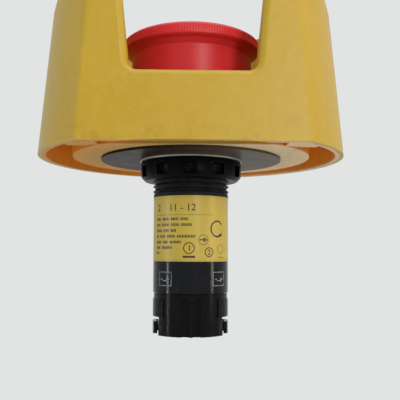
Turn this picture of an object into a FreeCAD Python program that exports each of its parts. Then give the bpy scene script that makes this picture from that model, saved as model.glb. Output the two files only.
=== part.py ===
import FreeCAD, Part
import os
import re
import Sketcher

# A one-piece emergency-stop push button for a 22 mm panel hole, with its yellow guard.
# +Z points out of the panel towards the button, and -Y is the side of the guard's flat
# front. The origin is on the barrel's axis, in the plane of the guard's rim, which is the
# front face of the panel. All sizes are in millimetres and degrees.

SIZES = {
    # guard
    "rim_radius": (43.9, "guard, outer radius at the rim"),
    "guard_height": (46.0, "guard, rim to top"),
    "shoulder_height": (40.0, "guard, rim to where the shoulder starts"),
    "side_draft": (5.0, "guard, draft of the round outside"),
    "shoulder_draft": (12.0, "guard, draft of the shoulder"),
    "flat_offset": (33.2, "guard, axis to the flat front at the rim"),
    "flat_draft": (4.0, "guard, draft of the flat front"),
    "skirt_wall": (2.3, "guard, thickness of the outer skirt"),
    "well_radius": (32.0, "guard, inner radius of the well at its floor"),
    "well_flat": (24.5, "guard, axis to the well's flat front wall at its floor"),
    "well_wall": (2.3, "guard, thickness of the well's wall"),
    "well_draft": (3.0, "guard, draft of the well"),
    "top_thickness": (2.5, "guard, thickness of the top that joins skirt and well"),
    "floor_recess": (0.2, "guard, rim to the underside of the floor"),
    "floor_thickness": (2.0, "guard, thickness of the floor"),
    "sill_height": (18.2, "guard, rim to the bottom of the front and rear windows"),
    "window_width": (32.2, "guard, width of a window at its sill"),
    "window_flare": (5.7, "guard, how far each side of a window leans out"),
    "window_corner": (2.4, "guard, radius of a window's lower corners"),
    "lip_radius": (1.8, "guard, rounding of a window's outer edge"),
    "corner_radius": (1.5, "guard, rounding where the flat front meets the round"),
    "web_inside": (24.0, "guard, axis to the inner side of a front corner web"),
    "web_width": (8.0, "guard, width of a front corner web"),
    "web_height": (8.0, "guard, height of a front corner web"),
    # small plays and laps that several pieces share
    "lap": (0.5, "overlap where a rib, boss or lug grows out of a wall"),
    "thread_play": (0.02, "screw threads, play to their hole"),
    "end_gap": (0.5, "gap past the end of a screw or under the button's hub"),
    "groove_play": (0.1, "play above and below the seal, and round the spring seat"),
    "insert_dome": (0.4, "button insert, rise of its middle"),
    "cross_width": (0.8, "head screw, width of the cross recess"),
    # panel hole, gaskets and key
    "hole_play": (0.15, "radial play of the barrel in every plate it passes"),
    "gasket_radius": (26.15, "panel gasket, outer radius"),
    "gasket_thickness": (0.7, "panel gasket, thickness"),
    "bezel_gasket_radius": (14.4, "bezel gasket, outer radius"),
    "bezel_gasket_thickness": (0.7, "bezel gasket, thickness"),
    "washer_radius": (14.9, "lock washer, outer radius"),
    "washer_thickness": (0.35, "lock washer, thickness"),
    "key_width": (3.1, "anti-rotation key, width"),
    "key_reach": (12.0, "anti-rotation key, axis to its outer face"),
    # locking ring
    "ring_radius": (14.65, "locking ring, outer radius"),
    "ring_height": (5.7, "locking ring, height"),
    "ring_edge": (1.3, "locking ring, chamfer of the lower edge"),
    "grip_width": (3.6, "locking ring, width of a spanner pocket"),
    "grip_depth": (1.7, "locking ring, depth of a spanner pocket"),
    "grip_height": (3.2, "locking ring, height of a spanner pocket"),
    "grip_count": (11, "locking ring, number of spanner pockets"),
    "grip_turn": (268.5, "locking ring, angle of the first pocket from the +X axis"),
    "grip_drop": (1.55, "locking ring, top face to the top of a spanner pocket"),
    # barrel
    "thread_radius": (11.0, "barrel, crest of the thread"),
    "thread_depth": (0.55, "barrel, crest to root of the thread"),
    "thread_pitch": (1.5, "barrel, pitch of the thread"),
    "thread_length": (9.7, "barrel, length of the thread"),
    "thread_lead": (0.25, "barrel, thread above the locking ring's top face"),
    "barrel_radius": (10.85, "barrel, radius below the thread"),
    "barrel_length": (41.3, "barrel, underside of the flange to the lower end"),
    "bore_radius": (9.35, "barrel, bore"),
    "slide_play": (0.1, "radial play of what slides in the barrel"),
    "turn_play": (0.05, "radial play of what turns on a shaft or a thread"),
    "keyway_width": (2.1, "barrel, width of the two keyways in the bore"),
    "keyway_depth": (0.5, "barrel, depth of the keyways"),
    "flange_radius": (15.0, "barrel, radius of the front flange"),
    "flange_thickness": (3.0, "barrel, thickness of the front flange"),
    "boss_radius": (12.4, "barrel, radius of the boss in front of the flange"),
    "boss_height": (7.1, "barrel, height of the boss"),
    "collar_wall": (1.95, "bezel collar, wall"),
    "collar_top": (1.5, "bezel collar, thickness of its top"),
    "stop_width": (0.65, "barrel, width of the latch ring's stop"),
    "stop_thickness": (0.9, "barrel, thickness of the latch ring's stop"),
    # label
    "label_drop": (14.2, "label, underside of the flange to its top edge"),
    "label_height": (18.3, "label, height"),
    "label_wrap": (150.0, "label, angle that it covers"),
    "label_thickness": (0.06, "label, thickness"),
    "label_glue": (0.05, "label, thickness of its glue"),
    # button
    "press_travel": (4.0, "button, stroke"),
    "head_radius": (20.0, "button, radius of the mushroom head"),
    "head_rise": (33.1, "button, underside of the flange to the top of its edge"),
    "band_top": (1.7, "button, top to the upper edge of the serrated band"),
    "band_height": (2.6, "button, height of the serrated band"),
    "band_round": (1.2, "button, rounding of the band"),
    "under_slope": (1.5, "button, fall of the underside from band to skirt"),
    "skirt_radius": (17.7, "button, outer radius of the skirt"),
    "button_wall": (1.6, "button, wall of the skirt"),
    "skirt_gap": (6.1, "button, flange to the lower edge of the skirt at rest"),
    "insert_radius": (13.0, "button insert, radius"),
    "insert_thickness": (1.2, "button insert, thickness"),
    "hub_radius": (6.5, "button, radius of the hub"),
    "crown_thickness": (6.9, "button, thickness of the crown under the insert"),
    "stem_radius": (3.5, "stem, radius"),
    "screw_radius": (2.0, "head screw, radius of the thread"),
    "screw_head_radius": (3.6, "head screw, radius of the head"),
    "screw_head_height": (1.8, "head screw, height of the head"),
    "screw_length": (9.5, "head screw, length under the head"),
    "hub_floor": (1.4, "button, thickness of the hub's end under the screw head"),
    # plunger
    "sleeve_top": (16.6, "plunger, underside of the flange to its top"),
    "sleeve_length": (15.5, "plunger, length of its guide"),
    "cup_wall": (1.05, "plunger, wall between its spring cup and the seal's groove"),
    "cup_floor": (4.0, "plunger, thickness of the cup's floor"),
    "tail_radius": (5.6, "plunger, radius of the tail"),
    "tail_length": (12.4, "plunger, length of the tail"),
    "seal_section": (0.6, "plunger seal, radius of its section"),
    "seal_drop": (9.5, "plunger, top to the seal"),
    "clip_radius": (5.4, "stem clip, outer radius"),
    "clip_thickness": (0.8, "stem clip, thickness"),
    "clip_groove": (0.7, "stem, depth of the clip's groove"),
    # latch
    "lug_reach": (5.9, "stem, axis to the end of a bayonet lug"),
    "lug_width": (3.0, "stem, width of a bayonet lug"),
    "lug_height": (1.8, "stem, height of a bayonet lug"),
    "latch_play": (0.4, "latch, axial play of a lug over and under the ledge"),
    "ledge_thickness": (1.4, "latch ring, thickness of the ledge"),
    "latch_wall": (2.1, "latch ring, wall"),
    "seat_thickness": (0.4, "spring seat, thickness"),
    "seat_play": (0.55, "spring seat, play to the plunger's outside"),
    "wire_return": (1.0, "return spring, wire"),
    "pitch_return": (2.4, "return spring, pitch"),
    "wire_reset": (0.9, "reset spring, wire"),
    "reset_play": (0.95, "reset spring, play to its cup"),
    "pitch_reset": (1.65, "reset spring, pitch"),
    "turns_reset": (3.0, "reset spring, number of coils"),
    # contacts
    "carrier_gap": (0.3, "contact carrier, gap under the barrel's stop at rest"),
    "carrier_length": (13.3, "contact carrier, length"),
    "carrier_play": (0.65, "contact carrier, play to the barrel's bore"),
    "carrier_depth": (5.2, "contact carrier, depth"),
    "tip_radius": (2.4, "stem, radius of the tip in the carrier"),
    "tip_length": (2.6, "stem, length of the tip"),
    "pole_offset": (4.1, "contacts, axis to the middle of a pole"),
    "strip_width": (2.8, "contacts, width of a strip"),
    "strip_play": (0.3, "contacts, play of a bridge in the carrier's window"),
    "bridge_drop": (7.6, "contacts, carrier's top to the top of a bridge"),
    "bridge_thickness": (0.8, "contacts, thickness of a bridge"),
    "lost_motion": (1.0, "contacts, bridge to the top of the carrier's window"),
    "bridge_spring_height": (4.0, "bridge spring, height as fitted"),
    "bridge_spring_coil": (1.1, "bridge spring, mean radius"),
    "bridge_spring_wire": (0.5, "bridge spring, wire"),
    "bridge_spring_pitch": (0.9, "bridge spring, pitch"),
    "rivet_radius": (1.2, "contacts, radius of a contact rivet"),
    "rivet_height": (0.8, "contacts, height of a contact rivet"),
    "plate_thickness": (0.6, "terminal plate, thickness"),
    "plate_play": (0.13, "terminal plate, play to the barrel's bore"),
    "pad_play": (1.2, "terminal plate, gap from its pad to the carrier"),
    # terminal base
    "base_gap": (0.3, "terminal base, groove under the barrel"),
    "groove_radius": (9.9, "terminal base, radius in the groove"),
    "plug_height": (1.4, "terminal base, height of the plug in the barrel"),
    "base_radius": (10.6, "terminal base, radius of the middle"),
    "base_width": (18.0, "terminal base, width of the middle"),
    "base_collar": (1.5, "terminal base, height of the collar"),
    "base_length": (11.8, "terminal base, barrel to its lower end"),
    "cheek_height": (4.9, "terminal base, height of a side cheek"),
    "cheek_inside": (7.6, "terminal base, axis to the inner side of a cheek"),
    "tab_length": (3.4, "terminal base, height of a side tab"),
    "tab_wall": (0.95, "terminal base, thickness of a side tab"),
    "tab_width": (6.4, "terminal base, width of a side tab"),
    "tab_rise": (0.3, "terminal base, lower end to the foot of a tab"),
    "groove_width": (2.1, "terminal base, width of a groove beside the middle rib"),
    "groove_depth": (1.0, "terminal base, depth of a groove"),
    "rib_width": (1.1, "terminal base, width of the middle rib"),
    "well_bore": (3.0, "terminal base, radius of a screw well"),
    "well_depth": (7.2, "terminal base, depth of a screw well"),
    "screw_offset": (4.6, "terminal base, axis to a screw, front and rear"),
    "entry_width": (2.4, "terminal base, width of a wire entry"),
    "entry_height": (2.2, "terminal base, height of a wire entry"),
    "pad_thickness": (0.8, "terminal plate, thickness of its screw pad"),
    "pad_radius": (2.9, "terminal plate, radius of its screw pad"),
    "clamp_radius": (2.8, "clamp washer, radius"),
    "clamp_thickness": (0.6, "clamp washer, thickness"),
    "wire_gap": (2.1, "terminal, pad to clamp washer"),
    "terminal_radius": (1.5, "terminal screw, radius of the thread"),
    "terminal_head": (2.6, "terminal screw, radius of the head"),
    "terminal_head_height": (2.1, "terminal screw, height of the head"),
    "terminal_slot": (0.8, "terminal screw, width and depth of the slot"),
    # snap hooks
    "hook_width": (3.0, "terminal base, width of a snap hook"),
    "hook_thickness": (0.9, "terminal base, thickness of a snap hook"),
    "hook_length": (4.4, "terminal base, length of a snap hook"),
    "hook_nose": (0.6, "terminal base, reach of a hook's nose"),
    "hook_nose_height": (0.8, "terminal base, height of a hook's nose"),
    "hook_play": (0.2, "barrel, play round a hook's nose"),
}

# Places worked out from the sizes above. Heights are measured from the rim's plane.
PLACES = {
    "shoulder_radius": "rim_radius - shoulder_height * tan(side_draft)",
    "top_radius": "shoulder_radius - (guard_height - shoulder_height) * tan(shoulder_draft)",
    "flat_shoulder": "flat_offset - shoulder_height * tan(flat_draft)",
    "flat_top": "flat_shoulder - (guard_height - shoulder_height) * tan(shoulder_draft)",
    "channel_top": "guard_height - top_thickness",
    "floor_top": "floor_recess + floor_thickness",
    "well_lean": "(guard_height - floor_top) * tan(well_draft)",
    "hole_radius": "thread_radius + hole_play",
    "flange_seat": "floor_top + bezel_gasket_thickness",
    "gasket_low": "floor_recess - gasket_thickness",
    "ring_top": "gasket_low - washer_thickness",
    "thread_start": "ring_top + thread_lead",
    "thread_end": "thread_start - thread_length",
    "root_radius": "thread_radius - thread_depth",
    "barrel_end": "flange_seat - barrel_length",
    "flange_top": "flange_seat + flange_thickness",
    "boss_top": "flange_top + boss_height",
    "keyway_reach": "bore_radius + keyway_depth",
    "label_top": "flange_seat - label_drop",
    "head_top": "flange_seat + head_rise",
    "band_high": "head_top - band_top",
    "band_low": "band_high - band_height",
    "skirt_low": "flange_top + skirt_gap",
    "insert_low": "head_top - insert_thickness",
    "crown_low": "insert_low - crown_thickness",
    "screw_seat": "insert_low - screw_head_height - hole_play",
    "stem_top": "screw_seat - hub_floor",
    "sleeve_high": "flange_seat + sleeve_top",
    "sleeve_low": "sleeve_high - sleeve_length",
    "tail_low": "sleeve_low - tail_length",
    "clip_low": "tail_low - turn_play - clip_thickness",
    "ledge_high": "clip_low - press_travel - latch_play",
    "ledge_low": "ledge_high - ledge_thickness",
    "lug_low": "ledge_high + latch_play",
    "lug_high": "lug_low + lug_height",
    "stop_top": "lug_low - press_travel - latch_play",
    "slide_radius": "bore_radius - slide_play",
    "guide_key": "keyway_reach - slide_play",
    "seal_floor": "slide_radius - 2 * seal_section",
    "spring_cup": "seal_floor - cup_wall",
    "hook_outer": "slide_radius - groove_play",
    "strip_out": "pole_offset + strip_width / 2",
    "plate_reach": "bore_radius - plate_play",
    "plate_offset": "sqrt(plate_reach * plate_reach - strip_out * strip_out)"
                    " - plate_thickness",
    "pad_length": "plate_offset - carrier_depth / 2 - pad_play",
    "rivet_offset": "plate_offset - pad_length * 0.6",
    "bridge_length": "2 * (rivet_offset + rivet_radius)",
    "carrier_top": "stop_top - stop_thickness - carrier_gap",
    "carrier_low": "carrier_top - carrier_length",
    "carrier_half": "bore_radius - carrier_play",
    "coil_reset": "spring_cup - reset_play - wire_reset / 2",
    "bridge_top": "carrier_top - bridge_drop",
    "bridge_low": "bridge_top - bridge_thickness",
    "window_low": "bridge_low - bridge_spring_height",
    "rivet_top": "bridge_top + rivet_height",
    "plate_low": "rivet_top + rivet_height",
    "base_end": "barrel_end - base_length",
    "collar_low": "barrel_end - base_gap - base_collar",
    "cheek_low": "collar_low - cheek_height",
    "tab_low": "base_end + tab_rise",
    "well_top": "base_end + well_depth",
    "pad_low": "well_top - pad_thickness",
    "clamp_top": "pad_low - wire_gap",
    "clamp_low": "clamp_top - clamp_thickness",
    "hook_top": "barrel_end + plug_height + hook_length",
}

doc = FreeCAD.newDocument("EmergencyStop")
sheet = doc.addObject("Spreadsheet::Sheet", "Sizes")
for row, (alias, (size, note)) in enumerate(SIZES.items(), start=1):
    sheet.set(f"A{row}", note)
    sheet.set(f"B{row}", str(size))
    sheet.setAlias(f"B{row}", alias)
doc.recompute()

parts = []


def link(text):
    """An expression in sheet names, written out in full."""

    def full(match):
        word = match.group()
        if word in PLACES:
            return "(" + link(PLACES[word]) + ")"
        return "Sizes." + word if word in SIZES else word

    return re.sub(r"[a-z_]+", full, text)


def number(text):
    """The value of an expression in sheet names."""
    return float(sheet.evalExpression(link(text)))


def bind(obj, **expressions):
    for prop, text in expressions.items():
        obj.setExpression(prop, link(text))


def place(obj, x, y, z):
    for axis, text in zip("xyz", (x, y, z)):
        obj.setExpression(f".Placement.Base.{axis}", link(text))


def block(name, x_low, x_high, y_low, y_high, z_low, z_high):
    obj = doc.addObject("Part::Box", name)
    bind(obj, Length=f"({x_high}) - ({x_low})", Width=f"({y_high}) - ({y_low})",
         Height=f"({z_high}) - ({z_low})")
    place(obj, x_low, y_low, z_low)
    return obj


def cylinder(name, radius, low, high, x="0", y="0"):
    obj = doc.addObject("Part::Cylinder", name)
    bind(obj, Radius=radius, Height=f"({high}) - ({low})")
    place(obj, x, y, low)
    return obj


def spoke(name, angle, inner, outer, width, low, high):
    """A block that reaches from one radius to another, turned about the axis."""
    obj = doc.addObject("Part::Box", name)
    obj.Placement = FreeCAD.Placement(
        FreeCAD.Vector(), FreeCAD.Rotation(FreeCAD.Vector(0, 0, 1), angle))
    bind(obj, Length=f"({outer}) - ({inner})", Width=width, Height=f"({high}) - ({low})")
    place(obj, f"cos({angle}) * ({inner}) + sin({angle}) * ({width}) / 2",
          f"sin({angle}) * ({inner}) - cos({angle}) * ({width}) / 2", low)
    return obj


def wedge(name, low, high, x_low, x_high, front_low, front_high, rear):
    """A block whose sides lean: x runs between -x_low and x_low at its foot and -x_high and
    x_high at its top, and y between -front and -rear, with its own front at foot and top."""
    obj = doc.addObject("Part::Wedge", name)
    bind(obj, Ymin=low, Ymax=high, Xmin=f"-({x_low})", Xmax=x_low, X2min=f"-({x_high})",
         X2max=x_high, Zmin=rear[0], Z2min=rear[1], Zmax=front_low, Z2max=front_high)
    obj.Placement = FreeCAD.Placement(
        FreeCAD.Vector(), FreeCAD.Rotation(FreeCAD.Vector(1, 0, 0), 90))
    return obj


def fuse(name, *shapes):
    obj = doc.addObject("Part::MultiFuse", name)
    obj.Shapes = list(shapes)
    return obj


def cut(name, base, *tools):
    obj = doc.addObject("Part::Cut", name)
    obj.Base = base
    obj.Tool = tools[0] if len(tools) == 1 else fuse(name + "Tools", *tools)
    return obj


def common(name, first, second):
    obj = doc.addObject("Part::MultiCommon", name)
    obj.Shapes = [first, second]
    return obj


def ring(name, outer, inner, low, high):
    return cut(name, cylinder(name + "Outside", outer, low, high),
               cylinder(name + "Inside", inner, f"({low}) - 1", f"({high}) + 1"))


def lathe(name, corners):
    """A body of revolution about Z, from the corners (radius, height) of its section."""
    body = doc.addObject("PartDesign::Body", name)
    sketch = body.newObject("Sketcher::SketchObject", name + "Section")
    plane = next(f for f in body.Origin.OriginFeatures if f.Role == "XZ_Plane")
    sketch.AttachmentSupport = [(plane, "")]
    sketch.MapMode = "FlatFace"
    points = [FreeCAD.Vector(number(r), number(z), 0) for r, z in corners]
    for start, end in zip(points, points[1:] + points[:1]):
        sketch.addGeometry(Part.LineSegment(start, end), False)
    for index, point in enumerate(points):
        before = (index - 1) % len(points)
        sketch.addConstraint(Sketcher.Constraint("Coincident", before, 2, index, 1))
        for kind, axis, value, text in (("DistanceX", -2, point.x, corners[index][0]),
                                        ("DistanceY", -1, point.y, corners[index][1])):
            if abs(value) < 1e-9:
                sketch.addConstraint(Sketcher.Constraint("PointOnObject", index, 1, axis))
                continue
            constraint = Sketcher.Constraint(kind, -1, 1, index, 1, value)
            line = sketch.addConstraint(constraint)
            sketch.setExpression(f"Constraints[{line}]", link(text))
    turned = body.newObject("PartDesign::Revolution", name + "Turned")
    turned.Profile = sketch
    turned.ReferenceAxis = (sketch, ["V_Axis"])
    turned.Angle = 360
    body.Tip = turned
    return body


def coil(name, radius, wire, pitch, low, high, x="0", y="0"):
    """A spring: a round wire along a helix from low to high."""
    helix = doc.addObject("Part::Helix", name + "Path")
    bind(helix, Radius=radius, Pitch=pitch, Height=f"({high}) - ({low}) - ({wire})")
    place(helix, x, y, f"({low}) + ({wire}) / 2")
    section = doc.addObject("Part::Circle", name + "Wire")
    section.Placement = FreeCAD.Placement(
        FreeCAD.Vector(), FreeCAD.Rotation(FreeCAD.Vector(1, 0, 0), 90))
    bind(section, Radius=f"({wire}) / 2")
    place(section, f"({x}) + ({radius})", y, f"({low}) + ({wire}) / 2")
    obj = doc.addObject("Part::Sweep", name)
    obj.Sections = [section]
    obj.Spine = (helix, ["Edge1"])
    obj.Solid = True
    obj.Frenet = True
    return obj


def keep(obj, node):
    """Call an object by its node's name and list it among the sub-parts."""
    obj.Label = node
    parts.append(obj)
    return obj


def both(name, make):
    """The same feature on the left and on the right."""
    return [make(name + side, sign) for side, sign in (("Left", "-1"), ("Right", "1"))]


def four(name, make):
    """The same feature at the four terminals."""
    quarters = [(a, b) for a in ("-1", "1") for b in ("-1", "1")]
    return [make(f"{name}{i}", sx, sy) for i, (sx, sy) in enumerate(quarters, start=1)]


def signed(sign, low, high):
    """A range mirrored to the side that sign names."""
    return (low, high) if sign == "1" else (f"-({high})", f"-({low})")


# Guard: a hollow double-walled moulding, open towards the panel. Its outer skirt is a
# drafted round with a flat front, and the button stands in the well in its middle.
def d_cone(name, low, high, radius_low, radius_high, flat_low, flat_high):
    cone = doc.addObject("Part::Cone", name + "Round")
    bind(cone, Radius1=radius_low, Radius2=radius_high, Height=f"({high}) - ({low})")
    place(cone, "0", "0", low)
    front = wedge(name + "Front", low, high, "2 * rim_radius", "2 * rim_radius",
                  "2 * rim_radius", "2 * rim_radius", (flat_low, flat_high))
    return cut(name, cone, front)


outside = fuse(
    "GuardOutside",
    d_cone("GuardSkirt", "0", "shoulder_height", "rim_radius", "shoulder_radius",
           "flat_offset", "flat_shoulder"),
    d_cone("GuardShoulder", "shoulder_height", "guard_height", "shoulder_radius",
           "top_radius", "flat_shoulder", "flat_top"))
outside.Refine = True
hollow = d_cone("GuardHollow", "0", "channel_top", "rim_radius - skirt_wall",
                "top_radius - skirt_wall + top_thickness * tan(side_draft)",
                "flat_offset - skirt_wall", "flat_top - skirt_wall")
well_core = d_cone("GuardWellWall", "0", "guard_height", "well_radius + well_wall",
                   "well_radius + well_wall + well_lean", "well_flat + well_wall",
                   "well_flat + well_wall + well_lean")
window_block = wedge(
    "GuardWindowFrame", "sill_height - skirt_wall", "guard_height",
    "window_width / 2 + skirt_wall", "window_width / 2 + skirt_wall + guard_height"
    " * tan(window_flare) - sill_height * tan(window_flare)",
    "2 * rim_radius", "2 * rim_radius", ("-2 * rim_radius", "-2 * rim_radius"))
webs = both("GuardWeb", lambda name, sign: block(
    name, *signed(sign, "web_inside", "web_inside + web_width"),
    "-flat_offset", "-well_flat", "0", "web_height"))
channel = cut("GuardChannel", hollow, well_core, window_block, *webs)
well = d_cone("GuardWell", "floor_top", "guard_height", "well_radius",
              "well_radius + well_lean", "well_flat", "well_flat + well_lean")
window_raw = wedge(
    "GuardWindowRaw", "sill_height", "guard_height", "window_width / 2",
    "window_width / 2 + (guard_height - sill_height) * tan(window_flare)",
    "2 * rim_radius", "2 * rim_radius", ("-2 * rim_radius", "-2 * rim_radius"))
doc.recompute()


def edges_where(obj, wanted, radius):
    """The numbers of the edges whose middle and ends satisfy a test, for Part::Fillet."""
    size = number(radius)
    found = []
    for index, edge in enumerate(obj.Shape.Edges, start=1):
        middle = edge.valueAt((edge.FirstParameter + edge.LastParameter) / 2)
        if wanted(edge, middle):
            found.append((index, size, size))
    return found


def fillet(name, base, radius, wanted):
    doc.recompute()
    obj = doc.addObject("Part::Fillet", name)
    obj.Base = base
    obj.Edges = edges_where(base, wanted, radius)
    doc.recompute()
    return obj


sill = number("sill_height")
window = fillet("GuardWindow", window_raw, "window_corner",
                lambda edge, middle: abs(middle.z - sill) < 0.01
                and abs(middle.x) > 1 and abs(middle.y) < 1)
floor_relief = cylinder("GuardFloorRelief", "well_radius + well_wall + 2", "0",
                        "floor_recess")
guard_hole = cylinder("GuardHole", "hole_radius", "0", "floor_top")
guard_key = block("GuardKeySlot", "-key_width / 2 - hole_play", "key_width / 2 + hole_play",
                  "0", "key_reach + hole_play", "0", "floor_top")
rounded = fillet("GuardRounded", outside, "corner_radius",
                 lambda edge, middle: abs(middle.x) > 1
                 and 1 < middle.z < number("guard_height") - 1
                 and -middle.y > number("flat_top") - 0.1 and edge.Length > 1)
guard_raw = cut("GuardRaw", rounded, channel, well, window, floor_relief, guard_hole,
                guard_key)
doc.recompute()
# Rounding of the windows' outer edges, where a hand rubs past them.
half_window = number("window_width") / 2
lean = number("(guard_height - sill_height) * tan(window_flare)")


def on_window_edge(edge, middle):
    side = half_window + lean * (middle.z - sill) / number("guard_height - sill_height")
    outer = abs(middle.y) > number("well_flat + well_wall + well_lean / 2 + 1")
    between = sill - 0.01 < middle.z < number("guard_height") - 0.01
    return outer and between and abs(middle.x) < side + 0.1


keep(fillet("Guard", guard_raw, "lip_radius", on_window_edge), "guard_shroud")


# What lies between the panel, the guard and the barrel: each plate has the barrel's hole
# and the slot for its anti-rotation key.
def keyed_plate(node, radius, low, high):
    plate = ring(node + "Ring", radius, "hole_radius", low, high)
    slot = block(node + "Slot", "-key_width / 2 - hole_play", "key_width / 2 + hole_play",
                 "0", "key_reach + hole_play", low, high)
    return keep(cut(node + "Keyed", plate, slot), node)


keyed_plate("panel_gasket", "gasket_radius", "gasket_low", "floor_recess")
keyed_plate("bezel_gasket", "bezel_gasket_radius", "floor_top", "flange_seat")
keyed_plate("lock_washer", "washer_radius", "ring_top", "gasket_low")

# Locking ring: a nut with ten pockets for a ring spanner and a chamfered lower edge.
ring_low = "ring_top - ring_height"
ring_bore = "thread_radius + turn_play"
nut = lathe("LockingRingTurned", [
    (ring_bore, ring_low), ("ring_radius - ring_edge", ring_low),
    ("ring_radius", f"{ring_low} + ring_edge"), ("ring_radius", "ring_top"),
    (ring_bore, "ring_top")])
grips = int(number("grip_count"))
pockets = [spoke(f"LockingRingPocket{i}", number("grip_turn") + 360 / grips * i,
                 "ring_radius - grip_depth",
                 "ring_radius + 1", "grip_width", "ring_top - grip_drop - grip_height",
                 "ring_top - grip_drop") for i in range(grips)]
keep(cut("LockingRing", nut, *pockets), "locking_ring")

# Barrel: flange, boss, thread and smooth tube in one moulding. A stop inside carries the
# latch ring, and two keyways keep the plunger and the contact carrier from turning.
thread = []
for turn in range(int(number("thread_length / thread_pitch"))):
    foot = f"thread_end + {turn} * thread_pitch"
    thread += [("root_radius", f"{foot} + 0.2 * thread_pitch"),
               ("thread_radius", f"{foot} + 0.45 * thread_pitch"),
               ("thread_radius", f"{foot} + 0.6 * thread_pitch"),
               ("root_radius", f"{foot} + 0.85 * thread_pitch")]
barrel = lathe("BarrelTurned", [
    ("bore_radius", "barrel_end"), ("barrel_radius", "barrel_end"),
    ("barrel_radius", "thread_end"), ("root_radius", "thread_end"), *thread,
    ("root_radius", "thread_start"), ("barrel_radius", "thread_start"),
    ("barrel_radius", "flange_seat"), ("flange_radius", "flange_seat"),
    ("flange_radius", "flange_top"), ("boss_radius", "flange_top"),
    ("boss_radius", "boss_top"), ("bore_radius", "boss_top")])
keyways = [spoke(f"BarrelKeyway{i}", 180 * i, "bore_radius - 1", "keyway_reach",
                 "keyway_width", "barrel_end", "boss_top") for i in range(2)]
stop = ring("BarrelStop", "bore_radius + lap", "bore_radius - stop_width",
            "stop_top - stop_thickness", "stop_top")
panel_key = block("BarrelKey", "-key_width / 2", "key_width / 2", "root_radius - lap",
                  "key_reach", "ring_top + turn_play", "flange_seat")
hook_slots = [block(f"BarrelHookSlot{i}", "-hook_width / 2 - hook_play",
                    "hook_width / 2 + hook_play", *span,
                    "hook_top - hook_nose_height - hook_play", "hook_top + hook_play")
              for i, span in enumerate([
                  ("bore_radius - 1", "bore_radius + hook_nose + hook_play"),
                  ("-bore_radius - hook_nose - hook_play", "-bore_radius + 1")])]
tube = cut("BarrelTube", barrel, *keyways, *hook_slots)
keep(fuse("Barrel", tube, stop, panel_key), "barrel_housing")

# Rating label: a film that wraps the front of the barrel.
film = doc.addObject("Part::Cylinder", "LabelFilm")
bind(film, Radius="barrel_radius + label_glue + label_thickness", Height="label_height",
     Angle="label_wrap")
film.Placement = FreeCAD.Placement(FreeCAD.Vector(), FreeCAD.Rotation(
    FreeCAD.Vector(0, 0, 1), 270 - number("label_wrap") / 2))
place(film, "0", "0", "label_top - label_height")
label_inside = cylinder("LabelInside", "barrel_radius + label_glue",
                        "label_top - label_height", "label_top")
keep(cut("Label", film, label_inside), "rating_label")

# Bezel collar: a cap round the boss that holds the plunger in.
collar_out = "boss_radius + turn_play + collar_wall"
keep(lathe("BezelCollar", [
    ("boss_radius + turn_play", "flange_top"), (collar_out, "flange_top"),
    (collar_out, "boss_top + collar_top"), ("bore_radius + hole_play",
                                            "boss_top + collar_top"),
    ("bore_radius + hole_play", "boss_top"), ("boss_radius + turn_play", "boss_top")]),
    "bezel_collar")

# Button: mushroom head with a skirt that slides over the collar and a hub for the stem.
stem_bore = "stem_radius + thread_play"
keep(lathe("ButtonHead", [
    ("screw_radius + hole_play", "stem_top"), (stem_bore, "stem_top"),
    (stem_bore, "sleeve_high + end_gap"), ("hub_radius", "sleeve_high + end_gap"),
    ("hub_radius", "crown_low"), ("skirt_radius - button_wall", "crown_low"),
    ("skirt_radius - button_wall", "skirt_low"), ("skirt_radius", "skirt_low"),
    ("skirt_radius", "band_low - band_round / 2 - under_slope"),
    ("head_radius - band_round", "band_low - band_round / 2"),
    ("head_radius", "band_low"), ("head_radius", "band_high"),
    ("head_radius - band_round", "band_high + band_top * 0.6"),
    ("insert_radius + 2", "head_top"), ("insert_radius + hole_play / 2", "head_top"),
    ("insert_radius + hole_play / 2", "insert_low"), ("screw_head_radius + hole_play",
                                                      "insert_low"),
    ("screw_head_radius + hole_play", "screw_seat"), ("screw_radius + hole_play",
                                                      "screw_seat")]), "button_head")
keep(lathe("ButtonInsert", [
    ("0", "insert_low"), ("insert_radius", "insert_low"), ("insert_radius", "head_top"),
    ("insert_radius / 2", "head_top + insert_dome * 0.75"),
    ("0", "head_top + insert_dome")]), "button_insert")
shank_low = "screw_seat - screw_length"
screw = lathe("HeadScrewTurned", [
    ("0", shank_low), ("screw_radius", shank_low), ("screw_radius", "screw_seat"),
    ("screw_head_radius", "screw_seat"), ("screw_head_radius",
                                          "screw_seat + screw_head_height"),
    ("0", "screw_seat + screw_head_height")])
cross = [block(f"HeadScrewCross{i}", *size, "screw_seat + screw_head_height / 2",
               "screw_seat + screw_head_height") for i, size in enumerate([
                   ("-cross_width / 2", "cross_width / 2", "-screw_radius", "screw_radius"),
                   ("-screw_radius", "screw_radius", "-cross_width / 2", "cross_width / 2")])]
keep(cut("HeadScrew", screw, *cross), "head_screw")

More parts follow.
